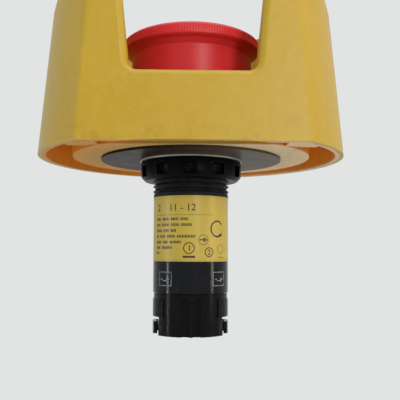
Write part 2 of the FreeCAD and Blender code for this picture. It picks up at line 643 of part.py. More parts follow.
# Stem: turns with the button. Its two bayonet lugs pass the latch ring when it is pressed.
clip_inner = "stem_radius - clip_groove"
tip_low = "carrier_top - tip_length"
shaft = lathe("StemTurned", [
    ("0", tip_low), ("tip_radius", tip_low), ("tip_radius", "carrier_top + turn_play"),
    ("stem_radius", "carrier_top + turn_play"), ("stem_radius", "clip_low"),
    (clip_inner, "clip_low"), (clip_inner, "clip_low + clip_thickness"),
    ("stem_radius", "clip_low + clip_thickness"), ("stem_radius", "stem_top"),
    ("screw_radius + thread_play", "stem_top"),
    ("screw_radius + thread_play", f"{shank_low} - end_gap"),
    ("0", f"{shank_low} - end_gap")])
lugs = [spoke(f"StemLug{i}", 90 + 180 * i, "stem_radius - lap", "lug_reach", "lug_width",
              "lug_low", "lug_high") for i in range(2)]
keep(fuse("Stem", shaft, *lugs), "stem")
clip = ring("StemClipRing", "clip_radius", "stem_radius - clip_groove", "clip_low",
            "clip_low + clip_thickness")
clip_mouth = block("StemClipMouth", "-clip_groove * 3", "clip_groove * 3", "0",
                   "clip_radius + 1", "clip_low", "clip_low + clip_thickness")
keep(cut("StemClip", clip, clip_mouth), "stem_clip")

# Plunger: slides in the barrel without turning, with the reset spring in its cup.
seal_high = "sleeve_high - seal_drop + seal_section + groove_play"
seal_low = "sleeve_high - seal_drop - seal_section - groove_play"
sleeve = lathe("PlungerTurned", [
    ("stem_radius + turn_play", "tail_low"), ("tail_radius", "tail_low"),
    ("tail_radius", "sleeve_low"), ("slide_radius", "sleeve_low"),
    ("slide_radius", seal_low), ("seal_floor", seal_low), ("seal_floor", seal_high),
    ("slide_radius", seal_high), ("slide_radius", "sleeve_high"),
    ("spring_cup", "sleeve_high"), ("spring_cup", "sleeve_low + cup_floor"),
    ("stem_radius + turn_play", "sleeve_low + cup_floor")])
guides = [spoke(f"PlungerGuide{i}", 180 * i, "slide_radius - lap", "guide_key",
                "keyway_width - 2 * slide_play", "sleeve_low", "sleeve_low + cup_floor")
          for i in range(2)]
keep(fuse("Plunger", sleeve, *guides), "plunger")
seal = doc.addObject("Part::Torus", "PlungerSeal")
bind(seal, Radius1="bore_radius - turn_play - seal_section", Radius2="seal_section")
place(seal, "0", "0", "sleeve_high - seal_drop")
keep(seal, "plunger_seal")

# Latch ring: the ledge that the lugs catch under, seated on the barrel's stop.
rim = lathe("LatchRingTurned", [
    ("stem_radius + latch_play", "ledge_low"), ("slide_radius - latch_wall", "ledge_low"),
    ("slide_radius - latch_wall", "stop_top"), ("slide_radius", "stop_top"),
    ("slide_radius", "ledge_high"), ("stem_radius + latch_play", "ledge_high")])
passages = [spoke(f"LatchPassage{i}", 90 + 180 * i, "stem_radius",
                  "lug_reach + latch_play", "lug_width + 2 * latch_play", "ledge_low - lap",
                  "ledge_high + lap") for i in range(2)]
keep(cut("LatchRing", rim, *passages), "latch_ring")
seat_high = "ledge_high + seat_thickness"
seat_inner = "lug_reach + latch_play + groove_play"
keep(ring("SpringSeat", "slide_radius - seat_play", seat_inner, "ledge_high", seat_high),
     "spring_seat")
keep(coil("ReturnSpring", f"{seat_inner} + groove_play + wire_return / 2", "wire_return",
          "pitch_return", seat_high, "sleeve_low"), "return_spring")
reset_low = "sleeve_low + cup_floor"
keep(coil("ResetSpring", "coil_reset", "wire_reset", "pitch_reset", reset_low,
          f"{reset_low} + pitch_reset * turns_reset + wire_reset"), "reset_spring")

# Contact carrier: pushed down by the stem's tip, with a window for each of two bridges.
bar = block("CarrierBar", "-carrier_half", "carrier_half", "-carrier_depth / 2",
            "carrier_depth / 2", "carrier_low", "carrier_top")
ribs = [spoke(f"CarrierRib{i}", 180 * i, "carrier_half - lap", "guide_key",
              "keyway_width - 2 * slide_play", "carrier_low", "carrier_top")
        for i in range(2)]
strip_in = "pole_offset - strip_width / 2"
windows = both("CarrierWindow", lambda name, sign: block(
    name, *signed(sign, f"{strip_in} - strip_play", "strip_out + strip_play"),
    "-carrier_depth", "carrier_depth", "window_low", "bridge_top + lost_motion"))
socket = cylinder("CarrierSocket", "tip_radius + turn_play", f"{tip_low} - turn_play",
                  "carrier_top")
keep(cut("Carrier", fuse("CarrierBody", bar, *ribs), socket, *windows), "contact_carrier")
keep(fuse("Bridges", *both("Bridge", lambda name, sign: block(
    name, *signed(sign, strip_in, "strip_out"), "-bridge_length / 2", "bridge_length / 2",
    "bridge_low", "bridge_top"))), "contact_bridges")


def rivets(node, low, high):
    return keep(fuse(node + "Group", *four(node, lambda name, sx, sy: cylinder(
        name, "rivet_radius", low, high, f"{sx} * pole_offset", f"{sy} * rivet_offset"))),
        node)


rivets("moving_contacts", "bridge_top", "rivet_top")
rivets("fixed_contacts", "rivet_top", "plate_low")
keep(fuse("BridgeSprings", *both("BridgeSpring", lambda name, sign: coil(
    name, "bridge_spring_coil", "bridge_spring_wire", "bridge_spring_pitch", "window_low",
    "bridge_low", f"{sign} * pole_offset"))), "bridge_springs")


# Terminals: each plate runs from a fixed contact down the bore to its clamping screw.
def terminal_plate(name, sx, sy):
    x_low, x_high = signed(sx, strip_in, "strip_out")
    leg = signed(sy, "plate_offset", "plate_offset + plate_thickness")
    pad = signed(sy, "plate_offset + plate_thickness - pad_length - plate_thickness",
                 "plate_offset + plate_thickness")
    foot = cylinder(name + "Foot", "pad_radius", "pad_low", "well_top",
                    f"{sx} * pole_offset", f"{sy} * screw_offset")
    plate = fuse(name + "Plate",
                 block(name + "Leg", x_low, x_high, *leg, "pad_low", "plate_low"),
                 block(name + "Pad", x_low, x_high, *pad, "plate_low",
                       "plate_low + plate_thickness"), foot)
    hole = cylinder(name + "Hole", "terminal_radius + turn_play", "pad_low", "well_top",
                    f"{sx} * pole_offset", f"{sy} * screw_offset")
    return cut(name, plate, hole)


def clamp_washer(name, sx, sy):
    middle = (f"{sx} * pole_offset", f"{sy} * screw_offset")
    return cut(name, cylinder(name + "Disc", "clamp_radius", "clamp_low", "clamp_top",
                              *middle),
               cylinder(name + "Hole", "terminal_radius + turn_play", "clamp_low",
                        "clamp_top", *middle))


def terminal_screw(name, sx, sy):
    middle = (f"{sx} * pole_offset", f"{sy} * screw_offset")
    foot = "clamp_low - terminal_head_height"
    slot = block(name + "Slot", f"{middle[0]} - terminal_head",
                 f"{middle[0]} + terminal_head", f"{middle[1]} - terminal_slot / 2",
                 f"{middle[1]} + terminal_slot / 2", foot, f"{foot} + terminal_slot")
    head = cylinder(name + "Head", "terminal_head", foot, "clamp_low", *middle)
    thread = cylinder(name + "Thread", "terminal_radius", "clamp_low",
                      "well_top - turn_play", *middle)
    return cut(name, fuse(name + "Blank", head, thread), slot)


keep(fuse("TerminalPlates", *four("TerminalPlate", terminal_plate)), "terminal_plates")
keep(fuse("ClampWashers", *four("ClampWasher", clamp_washer)), "clamp_washers")
keep(fuse("TerminalScrews", *four("TerminalScrew", terminal_screw)), "terminal_screws")

# Terminal base: closes the barrel's lower end and holds the four screw terminals.
plug = cylinder("BasePlug", "slide_radius", "barrel_end", "barrel_end + plug_height")
groove = cylinder("BaseGroove", "groove_radius", "barrel_end - base_gap", "barrel_end")
collar = cylinder("BaseCollar", "base_radius", "collar_low", "barrel_end - base_gap")
middle_block = common(
    "BaseMiddle", cylinder("BaseRound", "base_radius", "base_end", "collar_low"),
    block("BaseSides", "-base_width / 2", "base_width / 2", "-base_radius", "base_radius",
          "base_end", "collar_low"))
cheeks = cut("BaseCheeks", cylinder("BaseCheekRound", "barrel_radius", "cheek_low",
                                    "collar_low"),
             block("BaseCheekGap", "-cheek_inside", "cheek_inside", "-barrel_radius",
                   "barrel_radius", "cheek_low", "collar_low"))
tab_span = ("tab_low", "tab_low + tab_length")
tabs = common("BaseTabs", ring("BaseTabRing", "barrel_radius", "barrel_radius - tab_wall",
                               *tab_span),
              block("BaseTabWidth", "-barrel_radius", "barrel_radius", "-tab_width / 2",
                    "tab_width / 2", *tab_span))
arms = both("BaseArm", lambda name, sign: block(
    name, *signed(sign, "base_width / 2 - 1", "barrel_radius - tab_wall / 2"),
    "-tab_width / 5", "tab_width / 5", "tab_low + 0.6", "tab_low + tab_length - 0.9"))
hooks = [block(f"BaseHook{i}", "-hook_width / 2", "hook_width / 2", *span,
               "barrel_end + plug_height", "hook_top") for i, span in enumerate([
                   ("hook_outer - hook_thickness", "hook_outer"),
                   ("-hook_outer", "-hook_outer + hook_thickness")])]
noses = [block(f"BaseNose{i}", "-hook_width / 2", "hook_width / 2", *span,
               "hook_top - hook_nose_height", "hook_top") for i, span in enumerate([
                   ("hook_outer - lap", "bore_radius + hook_nose"),
                   ("-bore_radius - hook_nose", "-hook_outer + lap")])]
wells = four("BaseWell", lambda name, sx, sy: cylinder(
    name, "well_bore", "base_end", "well_top", f"{sx} * pole_offset",
    f"{sy} * screw_offset"))
legs = four("BaseLegSlot", lambda name, sx, sy: block(
    name, *signed(sx, strip_in, "strip_out"), *signed(
        sy, "plate_offset", "plate_offset + plate_thickness"), "well_top",
    "barrel_end + plug_height"))
entries = four("BaseEntry", lambda name, sx, sy: block(
    name, *signed(sx, "base_width / 2 - 3.5", "base_width / 2"), *signed(
        sy, "screw_offset - entry_width / 2", "screw_offset + entry_width / 2"),
    "cheek_low - entry_height / 2", "cheek_low + entry_height / 2"))
grooves = [block(f"BaseGroove{i}", *across, *deep, "base_end", "collar_low")
           for i, (across, deep) in enumerate([
               (signed(side, "rib_width / 2", "rib_width / 2 + groove_width"),
                signed(face, "base_radius - groove_depth", "base_radius"))
               for side in ("-1", "1") for face in ("-1", "1")])]
base = fuse("BaseBody", plug, groove, collar, middle_block, cheeks, tabs, arms[0], arms[1],
            *hooks, *noses)
keep(cut("TerminalBase", base, *wells, *legs, *entries, *grooves), "terminal_base")

doc.recompute()
for obj in doc.Objects:
    if "Invalid" in obj.State or "Error" in obj.State:
        raise SystemExit(f"{obj.Name} failed: {obj.State}")
for part in parts:
    if part.Shape.isNull() or not part.Shape.isValid():
        raise SystemExit(f"{part.Label} has no valid shape")
os.makedirs("parts", exist_ok=True)
for part in parts:
    part.Shape.exportStep(f"parts/{part.Label}.step")
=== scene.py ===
import math

import bpy
from mathutils import Matrix, Vector


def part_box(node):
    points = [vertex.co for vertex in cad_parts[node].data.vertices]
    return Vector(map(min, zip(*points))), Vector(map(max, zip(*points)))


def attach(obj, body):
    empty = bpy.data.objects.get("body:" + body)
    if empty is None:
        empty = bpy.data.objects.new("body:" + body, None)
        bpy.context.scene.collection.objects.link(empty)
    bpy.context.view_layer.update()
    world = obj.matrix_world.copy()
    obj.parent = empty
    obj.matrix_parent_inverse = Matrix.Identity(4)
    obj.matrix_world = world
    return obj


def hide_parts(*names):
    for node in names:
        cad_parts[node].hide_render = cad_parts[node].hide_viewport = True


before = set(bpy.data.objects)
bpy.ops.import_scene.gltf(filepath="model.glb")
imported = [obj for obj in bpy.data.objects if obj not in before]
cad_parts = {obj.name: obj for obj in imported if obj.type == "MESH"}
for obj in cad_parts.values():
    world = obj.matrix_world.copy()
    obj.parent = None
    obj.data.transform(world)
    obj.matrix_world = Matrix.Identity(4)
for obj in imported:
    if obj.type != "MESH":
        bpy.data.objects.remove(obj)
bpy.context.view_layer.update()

mm = 0.001

# ---------------------------------------------------------------------------------------
# Guard shroud: one thick injection moulding in yellow plastic, with a flat front, two
# finger windows and a hollow rim. Handling has left it scuffed, with dirt in its corners.
# ---------------------------------------------------------------------------------------


class Signal:
    """A shader output that takes part in sums, so that a pattern reads as a formula."""

    def __init__(self, paint, socket):
        self.paint, self.socket = paint, socket

    def maths(self, operation, first, second=0.0):
        return self.paint.node("ShaderNodeMath", {"operation": operation},
                               {0: first, 1: second})

    def __add__(self, other):
        return self.maths("ADD", self, other)

    def __sub__(self, other):
        return self.maths("SUBTRACT", self, other)

    def __mul__(self, other):
        return self.maths("MULTIPLY", self, other)

    def __rsub__(self, other):
        return self.maths("SUBTRACT", other, self)

    __radd__, __rmul__ = __add__, __mul__

    def most(self, other):
        return self.maths("MAXIMUM", self, other)

    def between(self, low, high):
        """Rises smoothly from 0 to 1 as the signal goes from low to high."""
        return self.paint.node("ShaderNodeMapRange", {"interpolation_type": "SMOOTHSTEP"},
                               {"Value": self, "From Min": low, "From Max": high})

    def below(self, high, low):
        """Rises smoothly from 0 to 1 as the signal goes down from high to low."""
        return 1.0 - self.between(low, high)


class Paint:
    """A material with one principled surface. Constants go straight on its sockets."""

    def __init__(self, name, **constants):
        self.material = bpy.data.materials.new(name)
        self.material.use_nodes = True
        self.tree = self.material.node_tree
        self.shader = self.tree.nodes["Principled BSDF"]
        for socket, value in constants.items():
            self.shader.inputs[socket.replace("_", " ")].default_value = value

    def node(self, kind, settings=None, inputs=None, output=0):
        made = self.tree.nodes.new(kind)
        for key, value in (settings or {}).items():
            setattr(made, key, value)
        for key, value in (inputs or {}).items():
            if isinstance(value, Signal):
                self.tree.links.new(value.socket, made.inputs[key])
            else:
                made.inputs[key].default_value = value
        return Signal(self, made.outputs[output])

    def feed(self, socket, signal):
        self.tree.links.new(signal.socket, self.shader.inputs[socket])

    def place(self, stretch=(1, 1, 1)):
        """Object coordinates in millimetres, stretched along the axes."""
        spot = self.node("ShaderNodeTexCoord", output="Object")
        return self.node("ShaderNodeVectorMath", {"operation": "MULTIPLY"},
                         {0: spot, 1: [1000 * s for s in stretch]})

    def axes(self):
        """The three object coordinates in millimetres."""
        split = self.node("ShaderNodeSeparateXYZ", {}, {0: self.place()})
        return [Signal(self, split.socket.node.outputs[axis]) for axis in "XYZ"]

    def noise(self, size, stretch=(1, 1, 1), detail=3.0, rough=0.55):
        """Cloudy noise from 0 to 1, with features of about size millimetres."""
        return self.node("ShaderNodeTexNoise", {},
                         {"Vector": self.place(stretch), "Scale": 1.0 / size,
                          "Detail": detail, "Roughness": rough})

    def mix(self, factor, first, second):
        return self.node("ShaderNodeMix", {"data_type": "RGBA"},
                         {0: factor, 6: first, 7: second}, output=2)

    def bump(self, height, depth):
        """Feeds the normal from a height signal; depth is in millimetres."""
        self.feed("Normal", self.node("ShaderNodeBump", {},
                                      {"Height": height, "Strength": 1.0,
                                       "Distance": depth * mm}))


def choose(piece):
    """Makes a piece the only one that operators act on."""
    if bpy.context.object and bpy.context.object.mode != "OBJECT":
        bpy.ops.object.mode_set(mode="OBJECT")
    bpy.ops.object.select_all(action="DESELECT")
    if piece:
        bpy.context.view_layer.objects.active = piece
        piece.select_set(True)


def recast(name, node, angle=30):
    """A piece with the frame's own shape: its loose triangles are merged, its flat faces
    are cleaned and its rounded ones are smoothed."""
    piece = bpy.data.objects.new(name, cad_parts[node].data.copy())
    bpy.context.scene.collection.objects.link(piece)
    choose(piece)
    bpy.ops.object.mode_set(mode="EDIT")
    bpy.ops.mesh.select_all(action="SELECT")
    bpy.ops.mesh.remove_doubles(threshold=2e-6)
    bpy.ops.mesh.dissolve_limited(angle_limit=math.radians(0.5))
    bpy.ops.object.mode_set(mode="OBJECT")
    bpy.ops.object.shade_smooth_by_angle(angle=math.radians(angle))
    weights = piece.modifiers.new("even_shading", "WEIGHTED_NORMAL")
    weights.keep_sharp = True
    bpy.ops.object.modifier_apply(modifier=weights.name)
    return piece


def fit(piece, paint, body, slot, *nodes):
    """Gives a piece its material and its body, and hides the CAD nodes it stands for."""
    piece.data.materials.clear()
    piece.data.materials.append(paint.material)
    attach(piece, body)
    if nodes:
        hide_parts(*nodes)


guard_yellow = Paint("guard_yellow_plastic", Specular_IOR_Level=0.42)
x, y, z = guard_yellow.axes()
cloud = guard_yellow.noise(16.0, detail=4.0)
mottle = guard_yellow.noise(2.6, detail=5.0)
scuffs = guard_yellow.noise(1.4, (1.0, 1.0, 0.16), 6.0, 0.7).between(0.60, 0.78)
nicks = guard_yellow.noise(0.7, detail=2.0).between(0.735, 0.775)
corner_dirt = guard_yellow.noise(5.0, detail=6.0, rough=0.7).between(0.50, 0.72)
rim_dirt = corner_dirt * z.below(9.0, 0.0)
reach = guard_yellow.node("ShaderNodeMath", {"operation": "SQRT"}, {0: x * x + y * y})
inside = (reach + z * 0.0875).below(43.0, 42.5) * (z * 0.07 - y).below(32.3, 31.8)
# Inside the hollow rim the colour turns a saturated orange. This is painted bounce light, standing
# in for light that passes round and through the yellow plastic there.
hollow_painted_glow = inside * reach.between(28.0, 34.0).most(z.between(0.4, 2.5)) * z.below(17.0, 14.0)
hollow_painted_glow = hollow_painted_glow * (1.0 - reach.below(33.2, 32.4) * z.between(1.2, 1.8))
panel_side = inside * z.below(0.5, 0.3)
tone = guard_yellow.mix(cloud, (0.505, 0.316, 0.010, 1), (0.570, 0.368, 0.022, 1))
tone = guard_yellow.mix(mottle.between(0.35, 0.75) * 0.22, tone, (0.620, 0.440, 0.090, 1))
tone = guard_yellow.mix(hollow_painted_glow, tone, (1.000, 0.370, 0.012, 1))
# The floor under the rim is dusted pale where it sat on the panel. The dust colour runs from orange
# on the left to pale cream on the right. That change across is painted light: painted orange bounce
# light on the left and a painted lit side on the right.
chalk = panel_side * (0.45 + 0.5 * mottle)
dust_and_painted_side_light = guard_yellow.mix(x.between(-26.0, 24.0), (0.650, 0.335, 0.075, 1),
                        (0.960, 0.790, 0.540, 1))
tone = guard_yellow.mix(chalk, tone, dust_and_painted_side_light)
tone = guard_yellow.mix(scuffs * 0.16, tone, (0.300, 0.185, 0.050, 1))
tone = guard_yellow.mix(rim_dirt * 0.34, tone, (0.250, 0.130, 0.030, 1))
tone = guard_yellow.mix(nicks * 0.55, tone, (0.130, 0.085, 0.040, 1))
guard_yellow.feed("Base Color", tone)
guard_yellow.feed("Roughness", 0.34 + 0.14 * cloud + 0.14 * scuffs + 0.25 * inside)
guard_yellow.bump(0.5 * guard_yellow.noise(0.5, detail=2.0) + 0.8 * mottle, 0.03)
guard = recast("guard_shroud_moulding", "guard_shroud")
fit(guard, guard_yellow, "housing", "guard_yellow", "guard_shroud")

# ---------------------------------------------------------------------------------------
# Panel gasket and bezel gasket: flat punched rings of dark rubber. The wide one lies under
# the guard against the panel, and shows as a disc round the barrel.
# ---------------------------------------------------------------------------------------
seal_rubber = Paint("seal_rubber", Specular_IOR_Level=0.035,
                    Specular_Tint=(1.0, 0.80, 0.66, 1))
bloom = seal_rubber.noise(7.0, detail=5.0)
dust = seal_rubber.noise(0.8, detail=4.0).between(0.60, 0.74)
# The rubber turns lighter and browner toward the right. This is painted light, drawn as if the
# right of the disc were lit.
painted_right_light = seal_rubber.axes()[0].between(-14.0, 24.0)
tone = seal_rubber.mix(bloom, (0.014, 0.007, 0.004, 1), (0.032, 0.017, 0.010, 1))
tone = seal_rubber.mix(painted_right_light * 0.8, tone, (0.150, 0.120, 0.088, 1))
seal_rubber.feed("Base Color", seal_rubber.mix(dust * 0.30, tone, (0.26, 0.23, 0.20, 1)))
seal_rubber.feed("Roughness", 0.26 + 0.24 * bloom + 0.20 * dust)
seal_rubber.bump(seal_rubber.noise(0.6, detail=3.0), 0.008)
for name, node in (("panel_gasket_ring", "panel_gasket"), ("bezel_gasket_ring", "bezel_gasket")):
    fit(recast(name, node), seal_rubber, "housing", "seal_rubber", node)

# ---------------------------------------------------------------------------------------
# Barrel housing: the black moulded body that passes through the panel, with a flange to
# clamp the guard and a thread for the locking ring. It is glossy, with handling marks.
# ---------------------------------------------------------------------------------------
housing_black = Paint("housing_black_plastic", Specular_IOR_Level=0.17)
cloud = housing_black.noise(6.0, detail=4.0)
rub = housing_black.noise(0.9, (1.0, 1.0, 0.25), 5.0, 0.65).between(0.60, 0.76)
tone = housing_black.mix(cloud, (0.0030, 0.0036, 0.0052, 1), (0.0070, 0.0074, 0.0090, 1))
housing_black.feed("Base Color", housing_black.mix(rub * 0.5, tone, (0.045, 0.043, 0.042, 1)))
threaded = housing_black.axes()[2].between(-12.0, -11.2)
housing_black.feed("Roughness", 0.08 + 0.12 * cloud + 0.18 * rub + 0.45 * threaded)
housing_black.bump(housing_black.noise(0.8, detail=2.0) + 0.4 * cloud, 0.018)
barrel = recast("barrel_housing_moulding", "barrel_housing")
fit(barrel, housing_black, "housing", "housing_black", "barrel_housing")

# ---------------------------------------------------------------------------------------
# Rating label: a printed yellow film glued round the front of the barrel. Its print is
# generic: rows of small dashes, a dotted line, circled arrows and plain contact numbers.
# ---------------------------------------------------------------------------------------
label_low, label_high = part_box("rating_label")
label_radius = 10.96
label_inside = 10.90
label_half = math.radians(75.0)
print_lift = 0.015


def wrapped(piece, radius):
    """Bends a flat piece that lies in the XZ plane round the barrel: x becomes the distance
    round it and z stays. Both are in millimetres from the front of the barrel."""
    for vertex in piece.data.vertices:
        angle = vertex.co.x / mm / radius
        reach = (radius - vertex.co.y / mm) * mm
        vertex.co = (reach * math.sin(angle), -reach * math.cos(angle), vertex.co.z)
    return piece


def flat_strip(name, left, right, low, high):
    """A flat strip in the XZ plane that faces forwards, cut across so that it can bend."""
    choose(None)
    bpy.ops.mesh.primitive_plane_add(size=1, rotation=(math.pi / 2, 0, 0))
    strip = bpy.context.object
    strip.name = name
    strip.scale = ((right - left) * mm, (high - low) * mm, 1)
    strip.location = ((left + right) / 2 * mm, 0, (low + high) / 2 * mm)
    bpy.ops.object.transform_apply(location=True, rotation=True, scale=True)
    bpy.ops.object.mode_set(mode="EDIT")
    cut_step = 0.8
    cuts = int((right - left) / cut_step)
    for cut in range(1, cuts + 1):
        bpy.ops.mesh.select_all(action="SELECT")
        place = left + (right - left) * cut / (cuts + 1)
        bpy.ops.mesh.bisect(plane_co=(place * mm, 0, 0), plane_no=(1, 0, 0))
    bpy.ops.object.mode_set(mode="OBJECT")
    return strip


def together(name, parts):
    """Joins flat marks into one piece."""
    choose(parts[0])
    for part in parts[1:]:
        part.select_set(True)
    bpy.ops.object.join()
    joined = bpy.context.object
    joined.name = name
    return joined


def lettering(text, size, left, low):
    """Plain figures as a flat mesh in the XZ plane, size millimetres tall."""
    choose(None)
    bpy.ops.object.text_add(location=(left * mm, 0, low * mm), rotation=(math.pi / 2, 0, 0))
    figures = bpy.context.object
    figures.data.body = text
    figures.data.size = size * 1.38 * mm
    figures.data.offset = 0.00002
    bpy.ops.object.convert(target="MESH")
    figures = bpy.context.object
    bpy.ops.object.transform_apply(location=True, rotation=True, scale=True)
    return figures


def circle_mark(centre, low, radius, line):
    """A thin drawn circle in the XZ plane."""
    choose(None)
    bpy.ops.mesh.primitive_circle_add(vertices=40, radius=radius * mm, fill_type="NGON",
                                      location=(centre * mm, 0, low * mm),
                                      rotation=(math.pi / 2, 0, 0))
    drawn = bpy.context.object
    bpy.ops.object.transform_apply(location=True, rotation=True, scale=True)
    bpy.ops.object.mode_set(mode="EDIT")
    bpy.ops.mesh.select_all(action="SELECT")
    bpy.ops.mesh.inset(thickness=line * mm)
    bpy.ops.mesh.delete(type="FACE")
    bpy.ops.object.mode_set(mode="OBJECT")
    return drawn


def arc_mark(centre, low, radius, line, start, end):
    """Part of a drawn circle, from one angle to another in degrees."""
    drawn = circle_mark(centre, low, radius, line)
    for face in drawn.data.polygons:
        angle = math.degrees(math.atan2(face.center.z / mm - low, face.center.x / mm - centre))
        face.select = not start < angle % 360 < end
    choose(drawn)
    bpy.ops.object.mode_set(mode="EDIT")
    bpy.ops.mesh.select_mode(type="FACE")
    bpy.ops.mesh.delete(type="FACE")
    bpy.ops.object.mode_set(mode="OBJECT")
    return drawn


def arrow_mark(centre, low, length, wide):
    """A plain arrow to the right in the XZ plane: a bar and a three-cornered tip."""
    bar = flat_strip("bar", centre - length / 2, centre + length * 0.15,
                     low - wide / 2, low + wide / 2)
    choose(None)
    bpy.ops.mesh.primitive_circle_add(vertices=3, radius=length * 0.38 * mm, fill_type="NGON",
                                      location=((centre + length * 0.2) * mm, 0, low * mm),
                                      rotation=(math.pi / 2, 0, 0))
    tip = bpy.context.object
    tip.rotation_euler = (math.pi / 2, math.pi / 2, 0)
    bpy.ops.object.transform_apply(location=True, rotation=True, scale=True)
    return together("arrow", [bar, tip])


film = flat_strip("rating_label_film", -label_half * label_radius, label_half * label_radius,
                  label_low.z / mm, label_high.z / mm)
wrapped(film, label_radius)
thick = film.modifiers.new("film", "SOLIDIFY")
thick.thickness = (label_radius - label_inside) * mm
thick.offset = -1
choose(film)
bpy.ops.object.modifier_apply(modifier=thick.name)
bpy.ops.object.shade_smooth_by_angle(angle=math.radians(30))
label_film = Paint("label_yellow_film", Specular_IOR_Level=0.3)
x, y, z = label_film.axes()
cloud = label_film.noise(5.0, detail=4.0)
wear = label_film.noise(1.1, detail=6.0, rough=0.7).between(0.58, 0.78)
edge = (z - label_low.z / mm).below(1.2, 0.0).most((label_high.z / mm - z).below(1.2, 0.0))
tone = label_film.mix(cloud, (0.560, 0.410, 0.056, 1), (0.660, 0.495, 0.090, 1))
tone = label_film.mix(wear * 0.30 + edge * 0.25, tone, (0.330, 0.230, 0.060, 1))
label_film.feed("Base Color", tone)
label_film.feed("Roughness", 0.26 + 0.18 * cloud)
label_film.bump(label_film.noise(2.5, detail=2.0), 0.03)
fit(film, label_film, "housing", "label_film", "rating_label")

top = label_high.z / mm
first = -11.6
marks = []
for row, (drop, ends) in enumerate((
        (6.5, (-9.6, -8.9, -6.7, -5.9, -3.6, -3.0, -0.9)),
        (8.1, (-9.9, -9.2, -6.5, -5.8, -3.4, -2.8, 0.3)),
        (9.7, (-9.2, -8.5, -6.6, -6.0, -4.3)),
        (11.3, (-10.6, -9.9, -7.8, -7.1, -4.6, -4.0, 1.3)),
        (12.9, (-9.4, -8.6, -6.9, -6.2, -2.9)),
        (14.4, (-9.7, -9.0, -5.4)),
        (15.9, (-10.2,)))):
    starts = (first,) + ends[1::2]
    for left, right in zip(starts, ends[0::2]):
        step = left
        while step < right - 0.1:
            width = 0.26 + 0.16 * abs(math.sin(7.3 * step + row))
            marks.append(flat_strip("dash", step, min(step + width, right),
                                    top - drop - 0.42, top - drop + 0.34))
            step += width + 0.16
for step in range(44):
    left = first + 0.42 * step
    marks.append(flat_strip("dot", left, left + 0.20, top - 5.45, top - 5.28))
marks += [lettering("2", 2.0, -11.2, top - 4.25), lettering("11 - 12", 2.0, -6.6, top - 4.25),
          arc_mark(8.0, top - 9.2, 2.4, 0.46, 40, 320), arrow_mark(9.3, top - 10.9, 1.5, 0.3),
          circle_mark(3.5, top - 12.3, 1.45, 0.14), arrow_mark(3.5, top - 12.3, 2.2, 0.34),
          circle_mark(-0.6, top - 14.6, 1.6, 0.26), lettering("1", 1.6, -1.0, top - 15.3),
          circle_mark(5.2, top - 15.7, 1.35, 0.26), lettering("2", 1.4, 4.75, top - 16.35),
          circle_mark(9.4, top - 14.8, 1.3, 0.12), flat_strip("line", 8.3, 10.6, top - 17.2,
                                                              top - 17.05),
          flat_strip("bar", -2.3, 1.1, top - 17.25, top - 16.7)]
printing = wrapped(together("rating_label_print", marks), label_radius + print_lift)
label_ink = Paint("label_black_ink", Specular_IOR_Level=0.4)
fade = label_ink.noise(1.4, detail=4.0)
label_ink.feed("Base Color", label_ink.mix(fade.between(0.40, 0.85), (0.020, 0.016, 0.010, 1),
                                           (0.110, 0.080, 0.030, 1)))
label_ink.feed("Roughness", 0.30 + 0.20 * fade)
fit(printing, label_ink, "housing", "label_film")

# ---------------------------------------------------------------------------------------
# Contact marks: two grey-white outlined squares printed on the barrel above its base,
# one beside each contact, with a plain contact sign in each.
# ---------------------------------------------------------------------------------------
barrel_radius = 10.85
mark_top = label_low.z / mm - 2.85
for name, left in (("contact_mark_left", -10.3), ("contact_mark_right", 6.5)):
    line = 0.17
    low, right = mark_top - 3.9, left + 4.7
    parts = [flat_strip("edge", left, right, low, low + line),
             flat_strip("edge", left, right, mark_top - line, mark_top),
             flat_strip("edge", left, left + line, low + line, mark_top - line),
             flat_strip("edge", right - line, right, low + line, mark_top - line),
             flat_strip("sign", left + 0.7, left + 1.5, low + 1.75, low + 1.97),
             flat_strip("sign", right - 1.5, right - 0.7, low + 1.75, low + 1.97),
             flat_strip("sign", left + 1.5, right - 1.4, low + 1.35, low + 1.57),
             flat_strip("sign", right - 1.72, right - 1.5, low + 1.2, low + 2.4)]
    sign = wrapped(together(name, parts), barrel_radius + print_lift)
    if left < 0:
        mark_ink = Paint("mark_white_ink", Specular_IOR_Level=0.4)
        fade = mark_ink.noise(0.9, detail=4.0)
        mark_ink.feed("Base Color", mark_ink.mix(fade.between(0.35, 0.80),
                                                 (0.34, 0.36, 0.37, 1), (0.07, 0.08, 0.09, 1)))
        mark_ink.feed("Roughness", 0.35 + 0.2 * fade)
    fit(sign, mark_ink, "housing", "label_film")

# ---------------------------------------------------------------------------------------
# Locking ring and its washer: the ring is a black moulded nut with a row of deep grips round
# it. The washer is a thin zinc-plated plate that keeps the ring from working loose.
# ---------------------------------------------------------------------------------------
ring_low, ring_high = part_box("locking_ring")
ring_radius = ring_high.x / mm
ring_bore = 11.05
grip_count, grip_turn = 11, 268.5
grip_wide, grip_deep, grip_drop, grip_tall = 3.6, 1.7, 1.55, 3.2
overshoot = 1.0


def soften(corners, steps=5):
    """A section's outline: each corner is (radius, height) or (radius, height, rounding),
    in millimetres, and a rounded corner becomes an arc."""
    outline = []
    count = len(corners)
    for index, corner in enumerate(corners):
        here = Vector(corner[:2])
        size = corner[2] if len(corner) > 2 else 0
        if not size:
            outline.append(here)
            continue
        back = (Vector(corners[(index - 1) % count][:2]) - here).normalized()
        ahead = (Vector(corners[(index + 1) % count][:2]) - here).normalized()
        half = back.angle(ahead) / 2
        reach = size / math.tan(half)
        centre = here + (back + ahead).normalized() * size / math.sin(half)
        start, end = here + back * reach - centre, here + ahead * reach - centre
        for step in range(steps + 1):
            outline.append(centre + start.slerp(end, step / steps).normalized() * size)
    return outline


